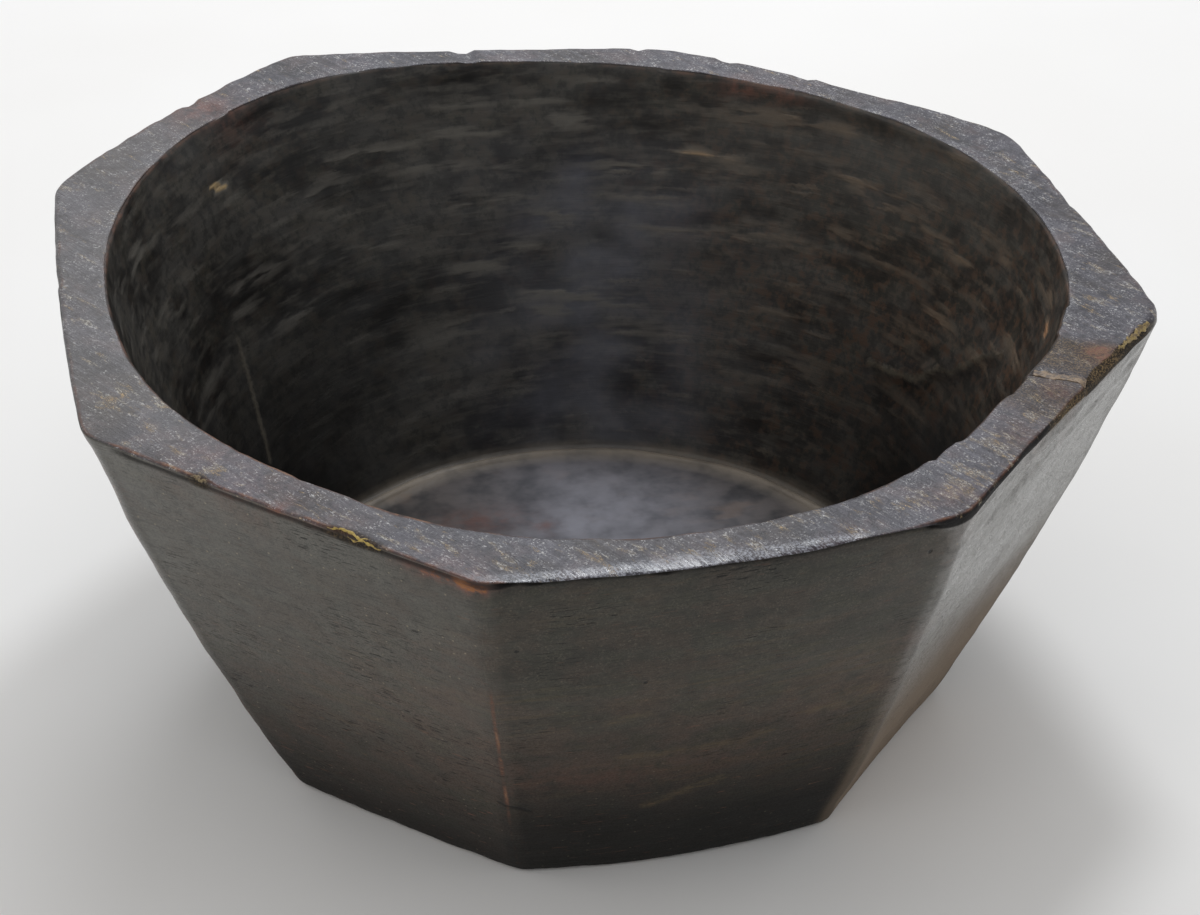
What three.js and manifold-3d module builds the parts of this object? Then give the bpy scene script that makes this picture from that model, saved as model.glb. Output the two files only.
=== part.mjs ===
// An eight-sided bowl hewn from one block of dark hardwood. The outside has eight leaning flats, the inside
// is hollowed round, with a flat floor that a low bead rings. Old yellow filler sits in three chips on the
// rim's outer edge and in a drying crack that runs across the rim.
// Millimetres, +Z up. The origin is on the table, under the middle of the bowl's plan. One flat faces -Y.

import * as THREE from 'three';
import { mergeVertices } from 'three/addons/utils/BufferGeometryUtils.js';
import Module from 'manifold-3d';

const wasm = await Module();
wasm.setup();

// Driving dimensions of the block
const height = 97.5; // table to rim, on the axis
const rimAcrossFlats = 213; // before the flats' own bulge
const footAcrossFlats = 141.5;
const wall = 9; // at the middle of a flat, from floor to rim
const floorThickness = 13.5;
const belly = 2; // how far the wall swells past a straight line, halfway up
const arrisRound = 5; // how far back along each flat the rounding of an arris starts
const rimTilt = 2.6; // degrees: the rim isn't level
const rimTiltBearing = 111; // degrees from +X: the way the rim climbs
const rimEdgeWear = 1.2; // worn slope on the rim's two edges
const footEdgeWear = 1.5;

// The eight arrises, anticlockwise from the back left. Out values add to the regular corner's reach, and
// turn values, in degrees, to its bearing. Bulge is how far the flat that follows swells past a straight
// line. Mouth values add to the mouth's regular radius, at the arris and at the middle of the next flat.
const firstBearing = 157.5;
const arrises = [
  { rimOut: 2.2, rimTurn: -4.6, footOut: 0, footTurn: -1.5, bulge: 1.6, mouthOut: 2.1, midMouthOut: -0.4 },
  { rimOut: 0.6, rimTurn: 1.1, footOut: -0.5, footTurn: 2.3, bulge: 0.6, mouthOut: 0, midMouthOut: -0.5 },
  { rimOut: 0.1, rimTurn: 0.3, footOut: 0, footTurn: -1, bulge: 3.4, mouthOut: 2.2, midMouthOut: 0.9 },
  { rimOut: -2.5, rimTurn: 1.6, footOut: 0, footTurn: 3.6, bulge: -0.6, mouthOut: -1.3, midMouthOut: -4.2 },
  { rimOut: 1.7, rimTurn: 2.4, footOut: 0.4, footTurn: 0.2, bulge: 0.3, mouthOut: -0.8, midMouthOut: 1 },
  { rimOut: -0.3, rimTurn: -0.8, footOut: 0, footTurn: 0, bulge: 2.8, mouthOut: 1.2, midMouthOut: -0.7 },
  { rimOut: -6.9, rimTurn: -0.1, footOut: -1, footTurn: -1, bulge: 1.3, mouthOut: -1.5, midMouthOut: 1.1 },
  { rimOut: 5.3, rimTurn: 0.2, footOut: 0.5, footTurn: 0, bulge: 3.1, mouthOut: 7.5, midMouthOut: 6.1 },
];

// The bead that rings the floor
const beadWidth = 3;
const beadHeight = 0.9;

// Chips and crack. Side is the arris that the flat starts from, and share is how far along the flat.
const fillerGap = 0.3;
const chips = [
  { name: 'front_chip_filler', side: 1, share: 0.7, length: 13, depth: 2 },
  { name: 'left_chip_filler', side: 1, share: 0.31, length: 5, depth: 1.9 },
  { name: 'right_chip_filler', side: 3, share: 0.87, length: 15, depth: 2.2 },
];
const crack = { name: 'rim_crack_filler', side: 3, share: 0.61, bearing: -27, width: 2.8, depth: 2.4 };

// How finely the curved outlines are divided
const flatSteps = 6;
const arrisSteps = 4;
const wallSteps = 8;
const scoopSteps = 16;
const weldDistance = 1e-4; // corners nearer than this are one corner

const sides = arrises.length;
const halfCorner = Math.PI / sides;
const radians = THREE.MathUtils.degToRad;
const lerp = THREE.MathUtils.lerp;

const swellAt = (share) => 4 * share * (1 - share); // 0 at both ends and 1 halfway

// The rim's height above a point of the plan
function rimHeight(x, y) {
  const along = x * Math.cos(radians(rimTiltBearing)) + y * Math.sin(radians(rimTiltBearing));
  return height + along * Math.tan(radians(rimTilt));
}

// One arris in plan, at a share of the height
function arrisPoint(index, share) {
  const arris = arrises[index % sides];
  const reach = lerp(
    footAcrossFlats / 2 / Math.cos(halfCorner) + arris.footOut,
    rimAcrossFlats / 2 / Math.cos(halfCorner) + arris.rimOut,
    share,
  ) + belly * swellAt(share);
  const regular = radians(firstBearing) + (index % sides) * 2 * halfCorner;
  const bearing = regular + radians(lerp(arris.footTurn, arris.rimTurn, share));
  return new THREE.Vector2(reach * Math.cos(bearing), reach * Math.sin(bearing));
}

// A point along the flat that starts at an arris, with the flat's bulge
function flatPoint(side, along, share) {
  const start = arrisPoint(side, share);
  const end = arrisPoint(side + 1, share);
  const outward = new THREE.Vector2(end.y - start.y, start.x - end.x).normalize();
  return start.lerp(end, along).addScaledVector(outward, arrises[side].bulge * swellAt(along));
}

// The whole outline in plan, with its arrises rounded
function outline(share) {
  const points = [];
  for (let side = 0; side < sides; side += 1) {
    const length = arrisPoint(side, share).distanceTo(arrisPoint(side + 1, share));
    const round = arrisRound / length;
    for (let step = 0; step <= flatSteps; step += 1) {
      points.push(flatPoint(side, lerp(round, 1 - round, step / flatSteps), share));
    }
    const next = (side + 1) % sides;
    const nextLength = arrisPoint(next, share).distanceTo(arrisPoint(next + 1, share));
    const rounding = new THREE.QuadraticBezierCurve(
      points.at(-1),
      arrisPoint(next, share),
      flatPoint(next, arrisRound / nextLength, share),
    );
    points.push(...rounding.getPoints(arrisSteps).slice(1, -1));
  }
  return points;
}

const bearings = outline(1).map((point) => point.angle());

function inset(point, distance) {
  return point.clone().setLength(point.length() - distance);
}

// A ring of the outside, at a share of the height, moved in by inward
function outsideRing(share, inward) {
  return outline(share).map((point) => {
    const { x, y } = inset(point, inward);
    return new THREE.Vector3(x, y, share * rimHeight(x, y));
  });
}

// Distance from the axis to the middle of a regular flat, at a share of the height
function outerApothem(share) {
  return lerp(footAcrossFlats, rimAcrossFlats, share) / 2 + belly * swellAt(share);
}

const floorShare = floorThickness / height;
const floorRadius = outerApothem(floorShare) - wall;
const mouthRadius = outerApothem(1) - wall;

// How far the mouth's edge strays from its regular radius: a smooth curve through the arrises' mouth values
const mouthStray = new THREE.CatmullRomCurve3(
  arrises.flatMap((arris) => [new THREE.Vector3(arris.mouthOut), new THREE.Vector3(arris.midMouthOut)]),
  true,
  'catmullrom',
);

// The hollow's wall in plan, at a share of its own depth from floor to rim
function hollowPoint(bearing, share) {
  const turn = (bearing - radians(firstBearing)) / (2 * Math.PI);
  const stray = mouthStray.getPoint(THREE.MathUtils.euclideanModulo(turn, 1)).x;
  const radius = lerp(floorRadius, mouthRadius + stray, share) + belly * swellAt(share);
  return new THREE.Vector2(radius * Math.cos(bearing), radius * Math.sin(bearing));
}

// A ring of the hollow, moved out by outward and down by drop
function hollowRing(share, outward, drop) {
  return bearings.map((bearing) => {
    const { x, y } = inset(hollowPoint(bearing, share), -outward);
    return new THREE.Vector3(x, y, lerp(floorThickness, rimHeight(x, y), share) - drop);
  });
}

function floorRing(radius, rise) {
  return bearings.map((bearing) => new THREE.Vector3(
    radius * Math.cos(bearing),
    radius * Math.sin(bearing),
    floorThickness + rise,
  ));
}

// A closed skin through the rings, from the point below to the point above
function closedLoft(low, rings, high) {
  const count = rings[0].length;
  const vertices = [low, ...rings.flat(), high];
  const last = vertices.length - 1;
  const indices = [];
  for (let i = 0; i < count; i += 1) {
    const j = (i + 1) % count;
    indices.push(0, 1 + j, 1 + i);
    for (let ring = 0; ring < rings.length - 1; ring += 1) {
      const lower = 1 + ring * count;
      const upper = lower + count;
      indices.push(lower + i, lower + j, upper + j, lower + i, upper + j, upper + i);
    }
    const top = 1 + (rings.length - 1) * count;
    indices.push(top + i, top + j, last);
  }
  const geometry = new THREE.BufferGeometry().setFromPoints(vertices);
  geometry.setIndex(indices);
  return geometry;
}

function hewnBlock() {
  const rings = [outsideRing(0, footEdgeWear)];
  const footWearShare = footEdgeWear / height;
  const rimWearShare = 1 - rimEdgeWear / height;
  for (let step = 0; step <= wallSteps; step += 1) {
    rings.push(outsideRing(lerp(footWearShare, rimWearShare, step / wallSteps), 0));
  }
  rings.push(outsideRing(1, rimEdgeWear));
  rings.push(hollowRing(1, rimEdgeWear, 0));
  rings.push(hollowRing(1, 0, rimEdgeWear));
  for (let step = wallSteps - 1; step >= 0; step -= 1) {
    rings.push(hollowRing(step / wallSteps, 0, 0));
  }
  rings.push(floorRing(floorRadius - beadWidth / 3, beadHeight));
  rings.push(floorRing(floorRadius - (beadWidth * 2) / 3, beadHeight));
  rings.push(floorRing(floorRadius - beadWidth, 0));
  return closedLoft(
    new THREE.Vector3(0, 0, 0),
    rings,
    new THREE.Vector3(0, 0, floorThickness),
  );
}

// Booleans: three.js geometry to a solid and back
function toSolid(geometry) {
  const bare = geometry.clone();
  bare.deleteAttribute('normal');
  bare.deleteAttribute('uv');
  const merged = mergeVertices(bare, weldDistance);
  return new wasm.Manifold(new wasm.Mesh({
    numProp: 3,
    vertProperties: new Float32Array(merged.attributes.position.array),
    triVerts: new Uint32Array(merged.index.array),
  }));
}

function toGeometry(solid) {
  const mesh = solid.getMesh();
  const geometry = new THREE.BufferGeometry();
  geometry.setAttribute('position', new THREE.BufferAttribute(mesh.vertProperties.slice(), 3));
  geometry.setIndex(new THREE.BufferAttribute(mesh.triVerts.slice(), 1));
  geometry.computeVertexNormals();
  return geometry;
}

// Where the flat's outer edge meets the rim, with the way along the edge
function rimEdge(side, along) {
  const plan = flatPoint(side, along, 1);
  const chord = arrisPoint(side + 1, 1).sub(arrisPoint(side, 1));
  return { x: plan.x, y: plan.y, z: rimHeight(plan.x, plan.y), bearing: chord.angle() };
}

// A chip is a long shallow scoop out of the rim's edge. Its filler is the same scoop, smaller by the gap.
function chipScoop(chip, gap) {
  const edge = rimEdge(chip.side, chip.share);
  const scoop = new THREE.SphereGeometry(1, scoopSteps, scoopSteps / 2);
  scoop.scale(chip.length / 2 - gap, chip.depth - gap, chip.depth - gap);
  scoop.rotateZ(edge.bearing);
  scoop.translate(edge.x, edge.y, edge.z - rimEdgeWear / 2);
  return toSolid(scoop);
}

// The crack is a V cut from the rim's outer edge to the hollow
function crackCut(gap) {
  const edge = rimEdge(crack.side, crack.share);
  const outer = new THREE.Vector2(edge.x, edge.y);
  const inner = hollowPoint(outer.angle(), 1);
  const rimWidth = outer.length() - inner.length();
  const reach = rimWidth + 2 * wall; // past both edges of the rim
  const halfWidth = crack.width / 2 - gap;
  const depth = crack.depth - gap;
  const lip = crack.depth; // stands above the rim, so that the cut is open at the top
  const vee = new THREE.Shape([
    new THREE.Vector2(0, -depth),
    new THREE.Vector2(halfWidth, 0),
    new THREE.Vector2(halfWidth, lip),
    new THREE.Vector2(-halfWidth, lip),
    new THREE.Vector2(-halfWidth, 0),
  ]);
  const cut = new THREE.ExtrudeGeometry(vee, { depth: reach, bevelEnabled: false });
  cut.translate(0, 0, -reach / 2);
  cut.rotateX(Math.PI / 2); // the V's point down, its length along Y
  cut.rotateZ(radians(crack.bearing) - Math.PI / 2);
  const halfway = outer.add(inner).divideScalar(2);
  cut.translate(halfway.x, halfway.y, rimHeight(halfway.x, halfway.y));
  return toSolid(cut);
}

const darkWood = new THREE.MeshStandardMaterial({ color: 0x2c2623, roughness: 0.45, metalness: 0 });
const oldFiller = new THREE.MeshStandardMaterial({ color: 0xa98539, roughness: 0.4, metalness: 0 });

const block = toSolid(hewnBlock());
const middle = new THREE.Box3().setFromBufferAttribute(toGeometry(block).attributes.position)
  .getCenter(new THREE.Vector3());

// The bowl stands with the middle of its plan on the origin
const bowl = new THREE.Group();

function place(name, solid, material) {
  const mesh = new THREE.Mesh(toGeometry(solid), material);
  mesh.name = name;
  mesh.position.set(-middle.x, -middle.y, 0);
  bowl.add(mesh);
}

let body = block.subtract(crackCut(0));
place(crack.name, block.intersect(crackCut(fillerGap)), oldFiller);
for (const chip of chips) {
  body = body.subtract(chipScoop(chip, 0));
  place(chip.name, block.intersect(chipScoop(chip, fillerGap)), oldFiller);
}
place('bowl_body', body, darkWood);

export default bowl;
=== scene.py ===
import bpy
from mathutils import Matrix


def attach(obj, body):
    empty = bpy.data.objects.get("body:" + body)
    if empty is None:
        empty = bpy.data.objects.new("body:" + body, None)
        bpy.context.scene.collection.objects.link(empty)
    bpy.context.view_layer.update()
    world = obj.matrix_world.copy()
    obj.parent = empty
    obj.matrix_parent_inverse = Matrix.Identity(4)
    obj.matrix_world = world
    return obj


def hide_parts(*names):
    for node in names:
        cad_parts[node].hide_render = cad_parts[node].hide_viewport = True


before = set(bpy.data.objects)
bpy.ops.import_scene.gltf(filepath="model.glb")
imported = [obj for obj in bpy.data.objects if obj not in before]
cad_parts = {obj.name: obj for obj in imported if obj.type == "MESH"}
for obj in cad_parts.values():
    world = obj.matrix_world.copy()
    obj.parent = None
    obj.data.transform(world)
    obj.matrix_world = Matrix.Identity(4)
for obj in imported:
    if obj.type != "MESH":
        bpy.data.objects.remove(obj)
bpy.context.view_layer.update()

import math
from types import SimpleNamespace

import bpy
import numpy as np
from mathutils import Vector

# Lengths are in millimetres round the bowl's own axis until a mesh is made, and angles in degrees
MM = 0.001
TAU = 2 * math.pi
radians = math.radians

# The part's own values
height = 97.5
rim_across_flats = 213
foot_across_flats = 141.5
wall = 9
floor_thickness = 13.5
belly = 2
rim_tilt = 2.6
rim_tilt_bearing = 111
rim_edge_wear = 1.2
bead_width = 3
bead_height = 0.9
first_bearing = 157.5
middle = np.array([1.3131, 1.1405, 0])  # of the block's plan: the bowl stands with this on the origin
SIDES = 8
half_corner = TAU / 2 / SIDES

# One value for each arris, anticlockwise from the back left, or for the flat that follows it
rim_out = np.array([2.2, 0.6, 0.1, -2.5, 1.7, -0.3, -6.9, 5.3])
rim_turn = np.array([-4.6, 1.1, 0.3, 1.6, 2.4, -0.8, -0.1, 0.2])
foot_out = np.array([0, -0.5, 0, 0, 0.4, 0, -1, 0.5])
foot_turn = np.array([-1.5, 2.3, -1, 3.6, 0.2, 0, -1, 0])
bulge = np.array([1.6, 0.6, 3.4, -0.6, 0.3, 2.8, 1.3, 3.1])
mouth_out = np.array([2.1, 0, 2.2, -1.3, -0.8, 1.2, -1.5, 7.5])
mid_mouth_out = np.array([-0.4, -0.5, 0.9, -4.2, 1, -0.7, 1.1, 6.1])

# Visible wear: how far back the rounding of each arris starts, on the wall and at the rim
arris_round = np.array([3.6, 3.2, 1.2, 1.3, 3.4, 4.2, 3.6, 3.4])
arris_round_rim = np.array([4.2, 3.4, 1.8, 4.2, 5.4, 5, 4.4, 4.2])
near_rim_from = 0.93

# Chips and crack, as in the part. Side is the arris that the flat starts from, share how far along it.
chips = {
    "front_chip_filler": {"side": 1, "share": 0.7, "length": 13, "depth": 2},
    "left_chip_filler": {"side": 1, "share": 0.31, "length": 5, "depth": 1.9},
    "right_chip_filler": {"side": 3, "share": 0.87, "length": 15, "depth": 2.2},
}
crack = {"side": 3, "share": 0.61, "bearing": -27, "width": 2.8}


def lerp(a, b, t):
    return a + (b - a) * t


def swell(share):
    return 4 * share * (1 - share)


def smooth(value, low, high):
    t = np.clip((value - low) / (high - low), 0, 1)
    return t * t * (3 - 2 * t)


def fade(value, low, high):
    return 1 - smooth(value, low, high)


def hump(value, centre, spread):
    return np.exp(-(((value - centre) / spread) ** 2))


# The value between stops, which are rows of a place and the value there
def between(value, stops):
    return np.interp(value, *zip(*stops))


def unit(vectors):
    return vectors / np.linalg.norm(vectors, axis=-1, keepdims=True)


# Smooth noise about 0 with a spread near 1. Sizes are its grain, one for all or one each along x, y and z.
def waves(points, sizes, seed, count=26):
    rng = np.random.default_rng(seed)
    total = np.zeros(points.shape[:-1])
    for _ in range(count):
        direction = unit(rng.normal(size=3))
        rate = TAU * rng.uniform(0.6, 1.4) * direction / np.array(sizes)
        total += np.cos(points @ rate + rng.uniform(0, TAU))
    return total * math.sqrt(2 / count)


def rim_height(x, y):
    along = x * math.cos(radians(rim_tilt_bearing)) + y * math.sin(radians(rim_tilt_bearing))
    return height + along * math.tan(radians(rim_tilt))


def arris_point(index, share):
    index = index % SIDES
    reach = lerp(
        foot_across_flats / 2 / math.cos(half_corner) + foot_out[index],
        rim_across_flats / 2 / math.cos(half_corner) + rim_out[index],
        share,
    ) + belly * swell(share)
    turn = first_bearing + index * 360 / SIDES + lerp(foot_turn[index], rim_turn[index], share)
    return polar(reach, np.radians(turn))


def polar(radius, turn):
    return np.stack([radius * np.cos(turn), radius * np.sin(turn)], -1)


def flat_point(side, along, share):
    start = arris_point(side, share)
    chord = arris_point(side + 1, share) - start
    outward = unit(np.stack([chord[..., 1], -chord[..., 0]], -1))
    return start + chord * along[..., None] + outward * (bulge[side % SIDES] * swell(along))[..., None]


# The columns of the skin. Each flat's are closer together near its chips and marks: share, spread, gain.
flat_columns = [40, 50, 50, 68, 40, 40, 40, 40]
busy = {1: [(0.31, 0.05, 1.2), (0.7, 0.09, 1.2)], 3: [(0.61, 0.035, 4), (0.87, 0.1, 1)]}
corner_columns = 7


def spread_columns(side):
    fine = np.linspace(0, 1, 2001)
    density = np.ones_like(fine)
    for centre, spread, gain in busy.get(side, []):
        density += gain * hump(fine, centre, spread)
    total = np.cumsum(density)
    total = (total - total[0]) / (total[-1] - total[0])
    return np.interp(np.linspace(0, 1, flat_columns[side]), total, fine)


column_side = np.repeat(np.arange(SIDES), np.array(flat_columns) + corner_columns)
corner_shares = np.arange(1, corner_columns + 1) / (corner_columns + 1)
column_share = np.concatenate([[*spread_columns(side), *corner_shares] for side in range(SIDES)])
column_is_corner = np.concatenate([[False] * count + [True] * corner_columns for count in flat_columns])
COLUMNS = len(column_side)


# The outside in plan, one point for each column, each at its own share of the height
def outline(share):
    share = np.broadcast_to(np.asarray(share, float), (COLUMNS,))
    side = column_side
    after = (side + 1) % SIDES
    near_rim = smooth(share, near_rim_from, 1)

    def shares_back(flat):
        length = np.linalg.norm(arris_point(flat + 1, share) - arris_point(flat, share), axis=-1)
        ahead = (flat + 1) % SIDES
        first = lerp(arris_round[flat % SIDES], arris_round_rim[flat % SIDES], near_rim)
        last = lerp(arris_round[ahead], arris_round_rim[ahead], near_rim)
        return first / length, 1 - last / length

    start, end = shares_back(side)
    next_start, _ = shares_back(after)
    t = column_share[:, None]
    on_flat = flat_point(side, lerp(start, end, column_share), share)
    before = flat_point(side, end, share)
    corner = arris_point(after, share)
    beyond = flat_point(after, next_start, share)
    rounded = before * (1 - t) ** 2 + corner * 2 * t * (1 - t) + beyond * t**2
    return np.where(column_is_corner[:, None], rounded, on_flat)


# Where each column is on its way round: the whole part of its lap is the flat, the rest the share along it
rim_plan = outline(1)
column_turn = np.arctan2(rim_plan[:, 1], rim_plan[:, 0])
column_lap = column_side + np.where(column_is_corner, 1, column_share)


def outer_apothem(share):
    return lerp(foot_across_flats, rim_across_flats, share) / 2 + belly * swell(share)


floor_radius = outer_apothem(floor_thickness / height) - wall
mouth_radius = outer_apothem(1) - wall


# A closed smooth curve through the mouth's values, at turns from 0 to 1 of a lap
def mouth_stray(turn):
    values = np.stack([mouth_out, mid_mouth_out], -1).ravel()
    count = len(values)
    place = (turn % 1) * count
    index = np.floor(place).astype(int)
    t = place - index
    a, b, c, d = (values[(index + step) % count] for step in (-1, 0, 1, 2))
    return 0.5 * (2 * b + (c - a) * t + (2 * a - 5 * b + 4 * c - d) * t**2 + (3 * b - a - 3 * c + d) * t**3)


# Small steps that a knife left in the mouth's edge, at the front right and the back: bearing, step out
mouth_steps = [
    (-68, 0), (-62.4, -0.5), (-61.6, 0.35), (-56.8, -0.35), (-56, 0.4), (-44.6, -0.5), (-43.6, 0.5),
    (-39.6, 0.1), (-38.8, -0.35), (-28.2, 0.3), (-27.2, -0.4), (-21.4, -0.3), (-20.6, 0.35), (-12, 0),
    (64, 0), (66.4, -0.5), (67.4, 0.3), (72, 0),
]


def hollow_radius(turn, share):
    lap_share = (turn - radians(first_bearing)) / TAU
    steps = between(np.degrees(turn), mouth_steps) * smooth(share, near_rim_from, 1)
    return lerp(floor_radius, mouth_radius + mouth_stray(lap_share) + steps, share) + belly * swell(share)


def inset(plan, distance):
    length = np.linalg.norm(plan, axis=-1)
    return plan * ((length - distance) / length)[:, None]


def raised(plan, z):
    return np.concatenate([plan, np.broadcast_to(z, plan.shape[:-1])[..., None]], -1)


def up_to_rim(plan):
    return raised(plan, rim_height(plan[:, 0], plan[:, 1]))


def rim_waves(size, seed):
    return waves(raised(rim_plan, 0), size, seed)


# How wide each worn edge is: lap, and how far in or down the wear goes
inward_wear = [
    (0, 1.3), (0.5, 1.1), (1, 0.7), (1.3, 0.6), (1.7, 0.6), (1.97, 0.45), (2.06, 0.3), (2.5, 0.3),
    (2.9, 0.45), (3.02, 0.9), (3.2, 0.9), (3.45, 0.9), (3.6, 1), (3.62, 2.3), (3.95, 2.2), (4.1, 1.5),
    (5, 1.4), (6, 1.5), (7, 1.6), (8, 1.3),
]
downward_wear = [
    (0, 1.2), (0.5, 1.1), (1, 0.8), (1.3, 0.8), (1.7, 0.8), (1.97, 0.4), (2.06, 0.3), (2.5, 0.3),
    (2.9, 0.5), (3.02, 2.4), (3.2, 1), (3.45, 1.2), (3.6, 1.5), (3.62, 2.4), (3.95, 2.4), (4.1, 1.6),
    (5, 1.4), (6, 1.5), (7, 1.6), (8, 1.2),
]
wear_least, wear_most = 0.25, 3.4
edge_keen = between(column_lap, [(2.9, 0.75), (3.05, 0.3), (3.95, 0.3), (4.1, 0.75)])
unsteady = 1 + 0.07 * rim_waves(9, 11) + 0.06 * rim_waves(3.5, 12)
outer_wear = np.clip(between(column_lap, inward_wear) * unsteady, wear_least, wear_most)
outer_drop = np.clip(between(column_lap, downward_wear) * unsteady, wear_least, wear_most)
inner_wear = np.clip(0.9 + 0.15 * rim_waves(12, 13) + 0.1 * rim_waves(4, 14), 0.45, 1.6)
foot_wear = np.clip(1.6 + 0.2 * rim_waves(20, 15) + 0.1 * rim_waves(6, 16), 0.9, 2.8)

# The rings of the skin, from the middle of the underside to the middle of the floor
OUTSIDE, RIM, HOLLOW, FLOOR, UNDER = range(5)
rings = []
zones = []


def add_ring(points, zone):
    rings.append(points)
    zones.append(zone)


# Shares from stop to stop, with a number of steps for each stretch
def stepped(stops, counts):
    shares = []
    for low, high, count in zip(stops, stops[1:], counts):
        shares += list(np.linspace(low, high, count, endpoint=False))
    return [*shares, stops[-1]]


# A worn edge between two rings, rounded about the corner that they had. Keen is 0 for a flat slope.
def add_edge(first, corner, last, steps, keen, first_zone, last_zone):
    pivot = lerp((first + last) / 2, corner, keen)
    middle_ring = len(rings) + steps // 2
    for step in range(1, steps):
        t = step / steps
        ring = first * (1 - t) ** 2 + pivot * 2 * t * (1 - t) + last * t**2
        add_ring(ring, first_zone if t < 0.5 else last_zone)
    return middle_ring


def outside_at(share):
    plan = outline(share)
    return raised(plan, share * rim_height(plan[:, 0], plan[:, 1]))


def hollow_at(share):
    plan = polar(hollow_radius(column_turn, share), column_turn)
    return raised(plan, lerp(floor_thickness, rim_height(plan[:, 0], plan[:, 1]), share))


foot_plan = outline(0)
foot_inner = raised(inset(foot_plan, foot_wear), 0.0)
for share in np.linspace(0.03, 1, 11):
    add_ring(foot_inner * share, UNDER)
wall_low = foot_wear * 0.8 / height
foot_ring = add_edge(foot_inner, raised(foot_plan, 0.0), outside_at(wall_low), 5, 0.8, UNDER, OUTSIDE)

wall_high = 1 - outer_drop / height
for share in stepped((0, 0.88, 0.965, 0.984, 1), (43, 11, 5, 11)):
    add_ring(outside_at(lerp(wall_low, wall_high, share)), OUTSIDE)

rim_outer = up_to_rim(inset(rim_plan, outer_wear))
outer_ring = add_edge(rings[-1], up_to_rim(rim_plan), rim_outer, 8, edge_keen[:, None], OUTSIDE, RIM)

mouth_plan = polar(hollow_radius(column_turn, 1.0), column_turn)
rim_inner = up_to_rim(inset(mouth_plan, -inner_wear))
rim_start = len(rings)
for share in np.linspace(0, 1, 19):
    add_ring(lerp(rim_outer, rim_inner, share), RIM)

hollow_high = 1 - inner_wear / (height - floor_thickness)
inner_ring = add_edge(rim_inner, up_to_rim(mouth_plan), hollow_at(hollow_high), 6, 0.8, RIM, HOLLOW)
for share in stepped((1, 0.9, 0), (10, 61)):
    add_ring(hollow_at(hollow_high * share), HOLLOW)

bead_waver = 0.35 * rim_waves(40, 17)
for step in np.linspace(0, 1, 10)[1:]:
    bead_radius = floor_radius - bead_width * step + bead_waver * math.sin(math.pi * step)
    rise = bead_height * math.sin(math.pi * step) ** 0.8
    add_ring(raised(polar(bead_radius, column_turn), floor_thickness + rise), FLOOR)
for share in np.linspace(1, 0.02, 20)[1:]:
    add_ring(raised(polar((floor_radius - bead_width) * share, column_turn), floor_thickness), FLOOR)

skin = np.array(rings)
ROWS = len(zones)
zone = np.broadcast_to(np.array(zones)[:, None], (ROWS, COLUMNS))
is_outside, is_rim, is_hollow, is_floor, is_under = (zone == kind for kind in range(5))

# Which way each point faces
across = np.roll(skin, -1, 1) - np.roll(skin, 1, 1)
facing = np.cross(across, np.gradient(skin, axis=0))
facing /= np.maximum(np.linalg.norm(facing, axis=-1, keepdims=True), 1e-9)

# Where each point of the skin is, before the marks of work and wear
x, y, z = skin[..., 0], skin[..., 1], skin[..., 2]
turn_deg = np.degrees(np.arctan2(y, x))
radius = np.hypot(x, y)
below_rim = rim_height(x, y) - z
lap = np.broadcast_to(column_lap, (ROWS, COLUMNS))


# 1 between two laps, with soft ends
def on_flat(low, high, soft=0.06):
    return smooth(lap, low - soft, low + soft) * fade(lap, high - soft, high + soft)


# Hand-cut surfaces: broad unevenness, and shallow facets left by the blade
offset = np.zeros((ROWS, COLUMNS))
uneven = 0.17 * waves(skin, (60, 60, 34), 21) + 0.06 * waves(skin, (26, 26, 9), 22)
uneven += 0.025 * waves(skin, (12, 12, 4), 23)
offset += is_outside * smooth(below_rim, 0.5, 5) * smooth(z, 0, 6) * uneven
rough = 0.15 * waves(skin, (22, 22, 5), 24) + 0.08 * waves(skin, (8, 8, 2.6), 25)
offset += is_outside * on_flat(3.02, 3.98) * hump(below_rim, 9, 9) * rough

# Under the front edge the wall is scraped back, which leaves a lip
lip = on_flat(2.04, 2.96) * 0.45 + on_flat(1.1, 1.98) * 0.16 + on_flat(3.02, 3.5) * 0.2
offset -= is_outside * lip * smooth(below_rim, 0.4, 1.5) * fade(below_rim, 2.2, 8)
from_top = np.linalg.norm(skin - skin[outer_ring], axis=-1)
undercut = on_flat(2.01, 2.97, 0.02) * (0.9 + 0.1 * waves(skin, 7, 26)) + on_flat(1.5, 2.0, 0.1) * 0.2
offset -= is_outside * undercut * hump(from_top, 0.8, 0.42)

# A ridge under the right edge, with crumbled wood above it
ridge = on_flat(3.42, 3.62, 0.05)
ridge_height = 0.4
offset += is_outside * ridge * ridge_height * (hump(below_rim, 5.2, 1.2) - hump(below_rim, 3.1, 1.2))

# A nick low on the front arris, long and leaning
gouge_away = skin - (-33.2, -80.7, 24.2)
gouge_along, gouge_over = gouge_away @ [0.9, 0.1, -0.42], gouge_away @ [0.42, 0, 0.9]
gouge_depth = 0.4
offset -= is_outside * gouge_depth * hump(gouge_along, 0, 2.6) * hump(gouge_over, 0, 1.3)

# The rim's top: scraped, a little hollow here and there, lower past the crack
rim_uneven = 0.1 * waves(skin, 22, 31) + 0.05 * waves(skin, 8, 32)
offset += is_rim * rim_uneven * fade(below_rim, 0.1, 1)
past_crack = smooth(lap, 3.612, 3.625) * fade(lap, 3.85, 4.1)
past_crack_drop = 0.35
offset -= is_rim * past_crack * past_crack_drop * smooth(radius, 96, 106)

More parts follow.
